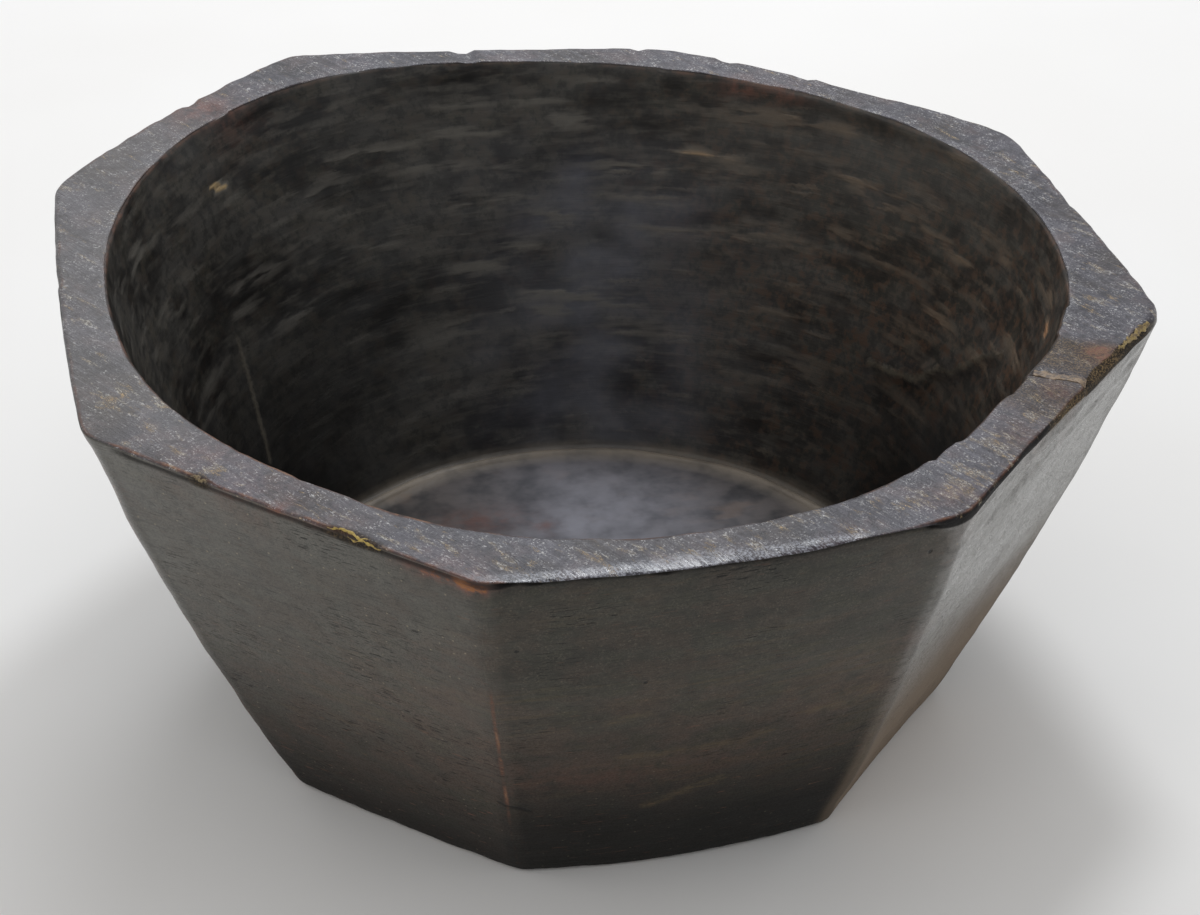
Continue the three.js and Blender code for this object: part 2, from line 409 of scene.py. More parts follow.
# The hollow: broad unevenness and the strokes of a curved blade, each a shallow scoop along the wall
hollow_uneven = 0.22 * waves(skin, (50, 50, 30), 41) + 0.06 * waves(skin, (20, 20, 7), 42)
offset += is_hollow * hollow_uneven * smooth(below_rim, 0.5, 5)
offset += is_floor * 0.09 * waves(skin, 30, 43) * smooth(62 - radius, 0, 6)

# Turn, height, half length, half width, depth, paleness and tilt of random strokes and those that stand out
rng = np.random.default_rng(5)
stroke_count = 620
strokes = [
    (rng.uniform(-180, 180), rng.uniform(19, 98), rng.uniform(5, 16), rng.uniform(0.6, 1.9),
     rng.uniform(0.02, 0.10), rng.uniform(0, 1) ** 2.6, rng.normal(0, 0.035))
    for _ in range(stroke_count)
]
strokes += [
    (133.4, 88.8, 4, 1.3, 0.1, 2.4, 0.35), (61, 82.2, 6.5, 1.2, 0.12, 1.5, 0),
    (56, 81.8, 3, 0.8, 0.1, 1.1, 0), (27.6, 82.7, 6, 0.9, 0.1, 0.8, 0), (14.6, 76.6, 5, 1, 0.12, 1.1, 0),
    (5.1, 82.9, 4, 0.9, 0.1, 0.9, 0), (-14.7, 83.4, 3.4, 1.7, 0.15, 1.8, 0.2),
    (-11, 88, 4, 1.3, 0.12, 1, 0.2), (95, 92, 8, 0.9, 0.1, 0.8, 0),
    (84, 92.5, 9, 0.9, 0.1, 0.8, 0), (80, 87, 10, 1, 0.1, 0.9, 0), (93, 85.5, 9, 1, 0.1, 0.9, 0),
    (101, 79, 6, 0.9, 0.1, 0.8, 0), (88, 78, 7, 0.9, 0.1, 0.7, 0), (68, 71, 13, 1, 0.1, 0.8, 0),
    (62, 64, 15, 1, 0.1, 0.8, 0), (48, 66, 8, 0.9, 0.1, 0.7, 0), (152, 74, 5, 0.9, 0.1, 0.8, 0.1),
]
scoops = np.zeros((ROWS, COLUMNS))
pale = np.zeros((ROWS, COLUMNS))
inner = np.where(np.array(zones) == HOLLOW)[0]
for at, level, half_length, half_width, depth, paleness, tilt in strokes:
    away = (turn_deg[inner] - at + 180) % 360 - 180
    along = np.radians(away) * radius[inner]
    over = z[inner] - level - tilt * along
    square = (along / half_length) ** 2 + (over / half_width) ** 2
    scoops[inner] = np.maximum(scoops[inner], depth * np.clip(1 - square, 0, 1))
    pale[inner] = np.maximum(pale[inner], paleness * np.clip(1.25 - square, 0, 1))
offset -= is_hollow * scoops * smooth(below_rim, 1.5, 6)

# A check in the right wall, turn and height: the wood stands proud above it and has crumbled away below it
wall_crack = [(-3.4, 67.4), (2.6, 61.5), (7.2, 54.5), (10.9, 53.1), (14.3, 48.1), (19.6, 46.6), (25.3, 45.8)]
crack_reach = smooth(turn_deg, -6, 0) * fade(turn_deg, 21, 29)
over_crack = z - between(turn_deg, wall_crack) + 0.5 * waves(skin, 5, 44)
proud, crumbled = 0.4, 0.9
offset += is_hollow * crack_reach * proud * hump(over_crack, 1.6, 1.8)
offset -= is_hollow * crack_reach * crumbled * fade(over_crack, -0.8, 0.5) * smooth(over_crack, -24, -2)

skin = skin + facing * offset[..., None]

# The front edge has rolled over: the rim slopes down to it, and the edge with it
rolled_width = between(lap, [(2.2, 4.5), (2.32, 5.5), (2.45, 7), (2.6, 5.5), (2.8, 4)])
from_edge = np.linalg.norm(skin[..., :2] - skin[outer_ring, :, :2], axis=-1)
rolled = np.where(is_rim, np.clip(1 - from_edge / rolled_width, 0, 1) ** 2.2, fade(below_rim, 0, 8))
rolled *= on_flat(2.04, 2.75, 0.08) * (0.9 + 0.1 * waves(skin, 14, 27)) * (is_rim | is_outside)
skin[..., 2] -= 0.13 * rolled_width * rolled

# Nicks in the rim's outer edge: lap, half length and depth
edge_nicks = [
    (6.55, 2.2, 1), (6.02, 1.6, 0.6), (5.86, 3, 0.5), (5.6, 2, 0.6), (3.33, 3.5, 0.5), (3.52, 4, 0.8),
    (3.45, 1.6, 0.7), (1.12, 2, 0.5), (1.5, 2.5, 0.5), (7.4, 2.5, 0.5), (4.6, 2, 0.5), (0.4, 2, 0.4),
]
edge_length = 88
nicked = sum(depth * np.clip(1 - ((lap - at) * edge_length / half_length) ** 2, 0, 1)
             for at, half_length, depth in edge_nicks)
nick = (is_rim | is_outside) * nicked * fade(np.abs(below_rim), 0.8, 2.6) * smooth(radius, 96, 104)
skin[..., 2] -= nick * 0.8
skin[..., :2] -= unit(skin[..., :2]) * (nick * 0.6)[..., None]


def rim_edge(side, share):
    side, share = np.array([side]), np.array([float(share)])
    plan = flat_point(side, share, np.ones(1))[0]
    chord = (arris_point(side + 1, np.ones(1)) - arris_point(side, np.ones(1)))[0]
    return np.array([*plan, rim_height(*plan)]), unit(chord)


# The middle of a chip and its axes: along the edge, outward and up
def chip_frame(chip):
    edge, along = rim_edge(chip["side"], chip["share"])
    axes = np.array([[*along, 0], [along[1], -along[0], 0], [0, 0, 1]])
    return edge - [0, 0, rim_edge_wear / 2], axes


# Chips are scooped out: points inside the scoop move in and down to its far side
pocket = np.zeros((ROWS, COLUMNS))
chip_open = 0.45  # how much of a scoop its filler leaves open
push = unit(np.array([0, -1, -0.8]))
for chip in chips.values():
    centre, axes = chip_frame(chip)
    size = np.array([chip["length"] / 2, chip["depth"], chip["depth"]])
    near = (skin - centre) @ axes.T / size
    dot = near @ push
    square = (near**2).sum(-1)
    reach = np.where(square < 1, -dot + np.sqrt(np.maximum(dot**2 - square + 1, 0)), 0)
    reach *= 0.9 + 0.25 * waves(skin, 1.8, 51)
    skin += np.clip(reach, 0, 2)[..., None] * (push * size * chip_open) @ axes
    pocket = np.maximum(pocket, np.clip(1.35 - square, 0, 1))

# The crack's groove across the rim
groove_depth = 1.0
crack_outer = rim_edge(crack["side"], crack["share"])[0][:2]
crack_turn = np.arctan2(crack_outer[1:], crack_outer[:1])
crack_inner = polar(hollow_radius(crack_turn, 1.0), crack_turn)[0]
crack_middle = (crack_outer + crack_inner) / 2
crack_along = polar(1, radians(crack["bearing"]))
crack_side = np.array([-crack_along[1], crack_along[0]])
from_crack = (skin[..., :2] - crack_middle) @ crack_side
on_crack = np.abs((skin[..., :2] - crack_middle) @ crack_along) < wall
flush_rim = skin[outer_ring - 3:inner_ring + 3].copy()
groove = np.clip(1 - np.abs(from_crack) / (crack["width"] / 2), 0, 1) * on_crack
skin[..., 2] -= is_rim * groove * groove_depth * fade(below_rim, 0.3, 1.2)

# Paint: each attribute is an amount at each point of the skin
paint = {}


def set_paint(name, values, most=1.0):
    paint[name] = np.clip(values, 0, most)


# The most that any of the spots gives. A row has a place, its spread along x, y and z, and its amount.
def spots(rows):
    shapes = [amount * np.exp(-((((skin - (px, py, pz)) / spread) ** 2).sum(-1)))
              for px, py, pz, *spread, amount in rows]
    return np.maximum.reduce(shapes)


# The same rows without a height, for spots on the rim
def on_rim_top(rows):
    return [(px, py, rim_height(px, py), *rest) for px, py, *rest in rows]


set_paint("rim", is_rim)
set_paint("inside", is_hollow | is_floor)
set_paint("floor", is_floor * smooth(floor_radius - 1.5 - radius, 0, 2))
set_paint("under", is_under)
bead = hump(radius, floor_radius - 1.6, 2.1) * hump(z, floor_thickness + 0.6, 1.4)
set_paint("bead", bead * (is_floor | is_hollow))

# How worn each edge is: the outer edge along the lap, the mouth's by bearing, and each arris
outer_worn = [
    (0, 0.35), (0.6, 0.3), (1, 0.4), (1.05, 0.7), (1.35, 0.7), (1.6, 0.7), (1.75, 0.5), (1.9, 0.75),
    (2, 0.75), (2.06, 0.12), (2.5, 0.1), (2.85, 0.25), (2.97, 0.6), (3.1, 0.6), (3.35, 0.4),
    (3.62, 0.55), (3.64, 0.25), (3.9, 0.15), (4.2, 0.3), (5, 0.3), (6, 0.25), (7, 0.3), (7.4, 0.5),
    (8, 0.35),
]
mouth_worn = [
    (-180, 0.4), (-150, 0.7), (-143, 1.25), (-118, 1.25), (-100, 0.9), (-85, 0.6), (-70, 0.5),
    (-60, 0.35), (-40, 0.3), (-20, 0.3), (30, 0.2), (60, 0.35), (90, 0.2), (130, 0.3), (160, 0.55),
    (180, 0.4),
]
arris_amounts = np.array([0.5, 0.5, 0.62, 0.15, 0.4, 0.5, 0.4, 0.5])
foot_amount = 0.45
front_arris = 2
front_arris_fade = 0.3 + 0.9 * smooth(z, 17, 28) * fade(z, 56, 66)
far_gap = 8.0


# How far each point is from an edge, where the mask lets it be worn
def gap_to(edge, mask):
    return np.where(mask, np.minimum(np.linalg.norm(skin - edge, axis=-1), far_gap), far_gap)


nearest_arris = np.round(column_lap).astype(int) % SIDES
arris_column = np.array([
    np.where(column_is_corner & (column_side == (index - 1) % SIDES))[0][corner_columns // 2]
    for index in range(SIDES)
])[nearest_arris]
worn_edges = [
    (gap_to(skin[rim_start], is_rim | is_outside), between(lap, outer_worn)),
    (gap_to(skin[inner_ring], is_rim | is_hollow) * 0.6, between(turn_deg, mouth_worn)),
    (gap_to(skin[:, arris_column], is_outside),
     arris_amounts[nearest_arris] * np.where(nearest_arris == front_arris, front_arris_fade, 1)),
    (gap_to(skin[foot_ring], is_outside | is_under), foot_amount),
]
edge_gap = np.full((ROWS, COLUMNS), far_gap)
edge_amount = np.zeros((ROWS, COLUMNS))
for gap, amount in worn_edges:
    edge_amount = np.where(gap < edge_gap, amount, edge_amount)
    edge_gap = np.minimum(gap, edge_gap)
set_paint("edge_gap", edge_gap, far_gap)
set_paint("edge_amount", edge_amount, 2)

# Painted shade over darker wood: the dark line and band just under the rim's outer edge, where the lip
# shades the wall, and the dark slope at the front right
under_edge = np.linalg.norm(skin - skin[outer_ring], axis=-1)
line_width = between(lap, [(2, 1.4), (2.03, 1.3), (2.2, 0.9), (2.4, 1), (2.7, 0.7), (2.97, 0.4)])
line_width *= 1 + 0.25 * waves(skin, 6, 71)
front_line = smooth(under_edge, 0.05, 0.25) * fade(under_edge, line_width, line_width + 0.35)
front_line = on_flat(2, 2.97, 0.015) * (front_line + 0.4 * fade(under_edge, 1.2, 5))
left_band = on_flat(1.05, 1.98, 0.03) * 0.8 * smooth(below_rim, 0.5, 0.9) * fade(below_rim, 1.3, 2.8)
slope_end = between(lap, downward_wear)
right_slope = on_flat(2.955, 3.98, 0.02) * fade(below_rim, slope_end, slope_end + 0.5)
before_rim = is_outside | (is_rim & (np.arange(ROWS) < rim_start)[:, None])
set_paint("dark_edge", is_outside * (front_line + left_band) + before_rim * right_slope)
set_paint("polish", is_rim * fade(from_edge, rolled_width * 0.15, rolled_width * 0.9) * on_flat(2, 2.8))

red_on_rim = [
    (90.5, -54, 3.2, 3.4, 2.2, 2.3), (76.8, -65.2, 3, 3.5, 9, 0.7), (-69.9, 86.1, 9, 7, 9, 0.7),
    (-79, -70, 9, 7, 9, 0.25), (-84, -58, 7, 4, 9, 0.35), (45, -97, 7, 4, 9, 0.3),
    (66, -79, 6, 6, 6, 0.3),
]
red_elsewhere = [
    (-50, -101.4, 92.2, 8, 7, 1.5, 1.5), (-44.6, -104.7, 91.8, 3, 3, 1.7, 2.2),
    (-81, -71, 94.5, 5, 5, 0.9, 0.8), (-74, -78, 94.4, 5, 5, 0.9, 1.1),
    (-67, -84.5, 94.2, 4, 4, 0.9, 0.8), (54, 78.8, 98, 4, 4, 2, 0.75), (62, 73, 98, 6, 6, 1.8, 0.6),
    (-17, 40, 13.5, 10, 5, 5, 0.55), (-2.5, 33.5, 13.5, 3, 2, 4, 0.75), (30, -92, 46, 14, 6, 5, 0.2),
    (40, -90, 60, 10, 8, 4, 0.2), (-20, -88, 34, 30, 8, 6, 0.2),
]
set_paint("red", spots(on_rim_top(red_on_rim) + red_elsewhere), 3)
gold_on_rim = [
    (-100.7, 52, 3, 3, 4, 0.8), (-103.6, -2, 3, 6, 4, 0.45), (-102.5, -20.5, 3, 4, 4, 0.6),
    (-98.5, -36, 4, 5, 4, 0.9), (-93, -41, 3, 3, 4, 0.9), (-88, -57, 4, 4, 4, 0.6),
    (-83.9, -63.2, 2.4, 2.4, 3, 1.3), (98, -33.8, 6, 2.6, 4, 0.9), (106, -29.5, 3, 2, 4, 0.8),
    (102.6, -20.7, 4, 3, 4, 0.8), (104.5, -4.8, 4, 3, 4, 0.6), (102.9, 23.8, 3, 6, 4, 0.55),
    (61, -80, 5, 4, 4, 1), (54, -89, 5, 4, 4, 1), (47, -94, 5, 4, 4, 1.1), (37, -97, 6, 4, 4, 0.85),
    (69, -73, 4, 4, 4, 0.8), (77, -66, 3, 3, 4, 0.6), (86, -56, 3, 3, 4, 0.7), (13, -101, 6, 3, 4, 0.6),
    (-4, -103, 7, 3.5, 4, 0.65), (-18, -103, 7, 3.5, 4, 0.6), (-36, -101, 7, 4, 4, 0.6),
    (-52, -92, 8, 6, 4, 0.45), (-66, -80, 8, 6, 4, 0.35), (30, -99, 6, 3, 4, 0.5),
]
set_paint("gold", is_rim * spots(on_rim_top(gold_on_rim)), 1.3)

crumble = ridge * hump(below_rim, 1.4, 1.3) + on_flat(3.66, 3.84, 0.03) * hump(below_rim, 0.9, 1.2)
set_paint("crumble", (crumble + 0.5 * pocket) * (is_outside | is_rim))
set_paint("pocket", pocket)
set_paint("pale", np.minimum(pale, 2.2) * smooth(z, 22, 52), 2.2)
# Painted sheen: a pale bluish patch on the hollow's floor and a stripe up its back wall, in place of the
# light's reflection there
bloom = is_floor * (0.07 + hump(x, 8, np.where(x < 8, 22, 28)) * hump(y, 28, 38))
sheen_stripe = hump(np.radians(turn_deg - 76) * radius, 0, 24) * smooth(z, 6, 22) * fade(z, 66, 92)
set_paint("bloom", bloom + is_hollow * sheen_stripe * (0.85 + 0.25 * waves(skin, (16, 16, 12), 61)))

# Warm brown in the right of the hollow, low on the front left and low elsewhere, cool grey above
painted_x, painted_y = skin[..., 0], skin[..., 1]
warm_left = 0.85 * on_flat(1, 2, 0.01) * smooth((painted_x + 75 - z) * 0.9, -75, 10)
warm_front = 0.38 * on_flat(2, 3, 0.02) * hump(z, 34, 24)
warm_right = 0.5 * on_flat(3, 4, 0.02) * fade(z, 20, 55)
warm_back = 0.3 * on_flat(4, 9, 0.02) * fade(z, 15, 70)
warm_hollow = 0.15 + 0.75 * smooth(x * 0.94 - y * 0.12, 0, 75)
warm_outside = 0.12 + warm_left + warm_front + warm_right + warm_back
set_paint("warm", is_hollow * warm_hollow + is_outside * warm_outside)

# Paler at the top of the left flat, most at its upper left; dust at the top of the back flats, in the hollow
# and on the rim at the left; over most of the right flat a painted sheen for its bright glancing reflection
dust = on_flat(1, 2, 0.01) * (0.3 + 0.75 * smooth(z * 0.8 - painted_x * 0.5, 50, 108))
dust += 1.5 * on_flat(3, 4, 0.04) * smooth(z, 5, 70) * smooth(below_rim, 1.5, 6)
dust += 0.35 * on_flat(4, 9, 0.1) * smooth(z, 30, 80)
haze = hump(turn_deg, 32, 36) * smooth(z, 45, 92)
rim_dust = smooth(-painted_x, 45, 95) * smooth(painted_y, -75, -35)
set_paint("dust", is_outside * dust + is_hollow * haze + is_rim * rim_dust, 1.5)

# The right flat is slick above, where its colour also gets a pale painted sheen, and tan below
set_paint("slick", is_outside * on_flat(3, 4, 0.03) * smooth(z, 12, 66))
set_paint("tan", is_outside * on_flat(3, 4, 0.04) * fade(z, 16, 62))
# Painted shade in the hollow: on its left wall, most low down, and low on its right and front right walls
left_shade = smooth(-x, -10, 60) * (1 - 0.75 * smooth(z, 30, 85))
right_shade = 0.62 * smooth(x, 25, 78) * fade(z, 28, 72) + 0.75 * hump(turn_deg, -14, 30) * fade(z, 34, 70)
set_paint("shade", is_hollow * (left_shade + right_shade))
# Painted shade: the outside darker towards the foot, less so on the right flat, and low on the front flat;
# the same amount makes it rougher
low_shade = fade(z, -4, 62) ** 1.3 * (1 - 0.45 * on_flat(3, 4, 0.04))
set_paint("grime", is_outside * (low_shade + 0.25 * on_flat(2, 3, 0.02) * fade(z, 20, 60)))


def make_object(name, points, faces, material):
    mesh = bpy.data.meshes.new(name)
    mesh.from_pydata(((np.asarray(points) - middle) * MM).tolist(), [], faces)
    mesh.validate()
    mesh.update()
    mesh.polygons.foreach_set("use_smooth", [True] * len(mesh.polygons))
    piece = bpy.data.objects.new(name, mesh)
    bpy.context.scene.collection.objects.link(piece)
    mesh.materials.append(material)
    return piece


# The faces of a grid that runs round, closed at both ends by the two points that follow its own
def closed_faces(rows, columns):
    count = rows * columns
    one = np.arange(columns)
    two = (one + 1) % columns
    row = np.arange(rows - 1)[:, None] * columns
    quads = np.stack([row + one, row + two, row + columns + two, row + columns + one], -1).reshape(-1, 4)
    last = count - columns
    fans = [*zip(two, one, [count] * columns), *zip(last + one, last + two, [count + 1] * columns)]
    return quads.tolist() + np.array(fans).tolist()


def closed_points(points, columns):
    points = np.array(points)
    return np.concatenate([points, [points[:columns].mean(0), points[-columns:].mean(0)]])


def rgb(r, g, b):
    return (r, g, b, 1.0)


def in_frame(point):
    return tuple(float(value) for value in np.array(point, float) - middle)


# What a node gives. Numbers can be added, taken away and multiplied. A call lets a number rise smoothly from
# 0 at a low level to 1 at a high one, or run between two other values.
class Value:
    def __init__(self, recipe, socket):
        self.recipe = recipe
        self.socket = socket

    def __mul__(self, other):
        return self.recipe.math("MULTIPLY", self, other)

    def __add__(self, other):
        return self.recipe.math("ADD", self, other)

    def __radd__(self, other):
        return self.recipe.math("ADD", other, self)

    def __sub__(self, other):
        return self.recipe.math("SUBTRACT", self, other)

    def __rsub__(self, other):
        return self.recipe.math("SUBTRACT", other, self)

    def __abs__(self):
        return self.recipe.math("ABSOLUTE", self)

    def __call__(self, low, high, to_low=0.0, to_high=1.0):
        values = {0: self, 1: low, 2: high, 3: to_low, 4: to_high}
        return self.recipe.add("MapRange", values, interpolation_type="SMOOTHSTEP")


# Short ways to build a material out of nodes
class Recipe:
    def __init__(self, name):
        self.material = bpy.data.materials.new(name)
        self.material.use_nodes = True
        self.tree = self.material.node_tree
        self.shader = self.tree.nodes["Principled BSDF"]

    def feed(self, socket, value):
        if isinstance(value, Value):
            self.tree.links.new(value.socket, socket)
        else:
            socket.default_value = value

    def add(self, kind, values, output=0, **settings):
        node = self.tree.nodes.new("ShaderNode" + kind)
        for key, value in settings.items():
            setattr(node, key, value)
        for key, value in values.items():
            self.feed(node.inputs[key], value)
        return Value(self, node.outputs[output])

    # All that the node of a value gives
    def outputs(self, value):
        return [Value(self, socket) for socket in value.socket.node.outputs]

    def math(self, operation, a, b=0.0, clamp=False):
        return self.add("Math", {0: a, 1: b}, operation=operation, use_clamp=clamp)

    def most(self, a, b):
        return self.math("MAXIMUM", a, b)

    def vector(self, operation, a, b):
        return self.add("VectorMath", {0: a, 1: b}, operation=operation)

    def distance(self, a, b):
        return self.add("VectorMath", {0: a, 1: b}, "Value", operation="DISTANCE")

    def scale(self, at, factor):
        return self.add("VectorMath", {0: at, "Scale": factor}, operation="SCALE")

    def join(self, px, py, pz):
        return self.add("CombineXYZ", {0: px, 1: py, 2: pz})

    # The place on the surface, in millimetres
    def place(self):
        return self.scale(self.add("TexCoord", {}, "Object"), 1 / MM)

    # Sizes are the pattern's grain, one for all or one for each direction
    def noise(self, at, sizes, detail=3, roughness=0.6, distortion=0, move=0):
        at = self.vector("DIVIDE", at, sizes if isinstance(sizes, tuple) else (sizes,) * 3)
        if move:
            at = self.vector("ADD", at, (move, move * 0.7, move * 1.3))
        look = {"Detail": detail, "Roughness": roughness, "Distortion": distortion}
        return self.add("TexNoise", {"Vector": at, "Scale": 1, **look})

    # How far a point is from the middle of its cell, and a lot drawn for the cell
    def cells(self, at, sizes):
        gap = self.add("TexVoronoi", {"Vector": self.vector("DIVIDE", at, sizes), "Scale": 1}, "Distance")
        return gap, self.add("SeparateColor", {0: self.outputs(gap)[1]})

    def blend(self, share, a, b):
        return self.add("Mix", {0: share, 6: a, 7: b}, 2, data_type="RGBA", clamp_factor=True)

    def blend_vector(self, share, a, b):
        return self.add("Mix", {0: share, 4: a, 5: b}, 1, data_type="VECTOR")

    # Colours laid over a ground one after another, each by its share
    def layers(self, ground, *rows):
        for colour, share in rows:
            ground = self.blend(share, ground, colour if isinstance(colour, Value) else rgb(*colour))
        return ground

    # Smooth moves of up to about half the size in every direction
    def warped(self, at, size):
        colour = self.add("TexNoise", {"Vector": self.vector("DIVIDE", at, (5, 5, 5)), "Detail": 1}, 1)
        return self.vector("MULTIPLY", self.vector("SUBTRACT", colour, (0.5, 0.5, 0.5)), (size, size, size))

    # How near a place is to a run of lines through some points: 1 on a line, 0 at the width
    def lines(self, at, points, width):
        nearest = 0.0
        points = [in_frame(point) for point in points]
        for start, end in zip(points, points[1:]):
            run = Vector(end) - Vector(start)
            away = self.vector("SUBTRACT", at, start)
            step = run / run.length_squared
            share = self.add("VectorMath", {0: away, 1: step}, "Value", operation="DOT_PRODUCT")
            gap = self.distance(away, self.scale(run, self.math("ADD", share, 0.0, clamp=True)))
            nearest = self.most(nearest, gap(0, width, 1, 0))
        return nearest

    def finish(self, colour, roughness, bump_height):
        self.feed(self.shader.inputs["Base Color"], colour)
        self.feed(self.shader.inputs["Roughness"], roughness)
        bump = self.add("Bump", {"Height": bump_height, "Distance": MM, "Strength": 1})
        self.feed(self.shader.inputs["Normal"], bump)
        return self.material


# The point of the front side's skin that has this x and z
def front_point(x_mm, z_mm):
    away = np.hypot(painted_x - x_mm, skin[..., 2] - z_mm) + np.where(is_outside & (painted_y < 0), 0, 999)
    return skin[np.unravel_index(away.argmin(), away.shape)]


# A point of the hollow's wall at this turn and height, by the plain form
def hollow_point(turn, level):
    share = (level - floor_thickness) / (height - floor_thickness)
    reach = hollow_radius(np.array([radians(turn)]), share)[0]
    return (*polar(reach, radians(turn)), level + 0.8)


# Marks in the wood: a scratch in the left wall, ochre streaks low on the front, a slit and pin holes
scratch_ends = [(-67.3, 56.1, 58.5), (-63.7, 43.5, 34)]
streak_runs = [[(-14, 39.5), (-3, 38.4), (8, 39.4), (15, 40.6)], [(-8, 22.5), (1.5, 26.5), (6, 27.7)],
               [(21, 44), (31, 44.6), (35, 46.8)], [(-18.5, 50), (-14, 51.8), (-11, 52.6)]]
slit_ends = [(-35.9, -80.3, 25.7), (-30.3, -80.9, 23.2)]
pin_holes = [(-36.3, -101.1, 74.8), (39.4, -101.7, 84.9), (-12, -98, 62), (-75, -70, 66)]
scraper_bearing = -58  # which way the scraper ran over the rim


# The painted amounts and the patterns that the wood's colour, sheen and relief share
def wood_patterns(w):
    p = SimpleNamespace(**{name: w.add("Attribute", {}, "Fac", attribute_name=name) for name in paint})
    p.outside = (1 - p.inside) * (1 - p.rim)
    at = w.place()

    # Grain space: the first two run along the grain or stroke and the third across it
    px, py, pz = w.outputs(w.add("SeparateXYZ", {0: at}))
    cos, sin = math.cos(radians(scraper_bearing)), math.sin(radians(scraper_bearing))
    on_wall = w.join(px, py, pz - px * 0.05)
    on_rim = w.join(px * cos + py * sin, pz, px * -sin + py * cos)
    on_floor = w.join(px, pz, py * 0.5)
    grain = w.blend_vector(w.most(p.floor, p.under), w.blend_vector(p.rim, on_wall, on_rim), on_floor)

    # Noises, from broad to fine
    p.broad = w.noise(grain, (42, 42, 9), 3, 0.55, move=9)
    p.clouds = w.noise(at, (24, 24, 17), move=14)
    p.lines = w.noise(grain, (18, 18, 1.3), move=3)
    p.patches = w.noise(at, (9, 9, 6), move=49)
    p.dapple = w.noise(grain, (9, 9, 2), 2, 0.5, move=45)
    p.drawn = w.noise(grain, (6, 6, 1.7), move=53)
    p.fine = w.noise(grain, (6, 6, 0.34), 4, 0.62)
    p.mottle = w.noise(at, 2.6, 5, 0.68, move=27)
    p.glint = w.noise(grain, (1, 1, 0.4), 2, move=57)
    p.speck = w.noise(at, 0.42, 3, 0.7, move=21)

    # Pores of the wood, red dashes among them, and specks of dirt
    pores = w.noise(grain, (2.8, 2.8, 0.24), 0, 0.5, move=33)(0.69, 0.73)
    pores = pores * p.clouds(0.5, 0.62) * p.slick(0, 1, 0.9, 0.3) * p.outside
    long_pores = w.noise(grain, (5, 5, 0.3), 1, 0.5, move=37)(0.665, 0.72)
    long_pores = long_pores * p.dust * (1 - p.slick) * p.outside * p.clouds(0.4, 0.6, 0.3, 0.8)
    p.pores = w.most(pores, long_pores)
    p.red_dash = w.noise(grain, (4, 4, 0.4), 1, 0.5, move=41)(0.7, 0.75)
    gap, lot = w.cells(at, (1.7, 1.7, 1.7))
    p.dot = gap(0.06, 0.18, 1, 0) * lot(0.6, 0.7)

    # Pale dabs where the blade bit into the hollow
    gap, lot = w.cells(w.vector("ADD", grain, w.warped(at, 1.6)), (13, 13, 1.4))
    dab = gap(0.12, 0.6, 1, 0) * lot(0.3, 1) * p.inside
    p.dabs = (dab * (0.38 + p.warm * 0.22) + p.pale) * p.dapple(0.38, 0.56)

    # Powder in the scraped rim, streaks in its polished part, and flecks of old filler
    salt = p.speck(0.56, 0.66) * p.mottle(0.42, 0.6) * p.broad(0.3, 0.6, 0.5, 1)
    powder = p.glint(0.58, 0.68) * p.mottle(0.42, 0.58) * p.drawn(0.38, 0.6)
    p.powder = w.most(powder, salt) * p.polish(0.2, 0.8, 1, 0.3)
    p.streaks = p.fine(0.4, 0.6) * p.glint(0.35, 0.6, 0.4, 1) * p.polish(0.2, 0.9)
    squiggle = w.noise(grain, (1.15, 1.15, 0.42), 3, 0.65, 0.4, move=55)
    p.filled = (p.gold * 0.2 + p.drawn)(0.6, 0.72)
    p.fleck = abs(squiggle - 0.5)(0, 0.042, 1, 0) * p.filled * p.speck(0.34, 0.52) * p.rim(0.3, 0.9)

    # Marks
    moved = w.vector("ADD", at, w.warped(at, 1.2))
    p.scratch = w.lines(moved, scratch_ends, 1.3)
    p.check = w.lines(moved, [hollow_point(*corner) for corner in wall_crack], 1.5)
    p.streak = 0.0
    for run in streak_runs:
        p.streak = w.most(p.streak, w.lines(moved, [front_point(*point) for point in run], 2))
    p.dark_marks = w.lines(at, slit_ends, 0.9)
    for hole in pin_holes:
        p.dark_marks = w.most(p.dark_marks, w.distance(at, in_frame(hole))(0.25, 0.6, 1, 0))
    return p


def outside_colour(w, p):
    ochre = p.lines(0.5, 0.66) * p.broad(0.4, 0.6) * (p.warm * 1.3 + 0.1)
    olive = p.clouds(0.45, 0.7, 1, 0) * p.patches(0.3, 0.5, 1, 0) * (p.warm + 0.2)
    return w.layers(
        w.blend(p.broad(0.32, 0.66), rgb(0.031, 0.0315, 0.0255), rgb(0.05, 0.05, 0.04)),
        ((0.11, 0.08, 0.034), ochre * 0.75),
        ((0.098, 0.06, 0.042), p.patches(0.42, 0.62) * (p.warm * 0.75 + 0.12)),
        ((0.088, 0.055, 0.034), p.warm * 0.6),
        ((0.06, 0.056, 0.028), olive * 0.6),
        # paler at the top of the flats, and over the right flat a painted sheen
        ((0.18, 0.173, 0.154), p.dust * 0.6 * p.clouds(0.2, 0.8, 0.6, 1) * p.patches(0.4, 0.64, 1, 0.75)),
        ((0.008, 0.008, 0.007), p.fine(0.28, 0.5, 1, 0) * 0.42),
        ((0.006, 0.006, 0.005), p.mottle(0.34, 0.5, 1, 0) * 0.22),
        ((0.012, 0.012, 0.01), p.speck(0.36, 0.5, 1, 0) * 0.4),
        ((0.15, 0.13, 0.1), p.speck(0.52, 0.66) * p.mottle(0.4, 0.6) * 0.38),
        ((0.04, 0.038, 0.034), p.slick * p.speck(0.38, 0.52, 1, 0) * 0.45),
        # painted shade, darker towards the foot
        ((0.0065, 0.006, 0.005), p.grime * 0.92),
        # painted sheen on the slick upper part of the right flat
        ((0.29, 0.285, 0.275), p.slick * p.mottle(0.36, 0.6, 0.25, 0.75)),
        ((0.2, 0.15, 0.105), p.tan * 0.85),
    )


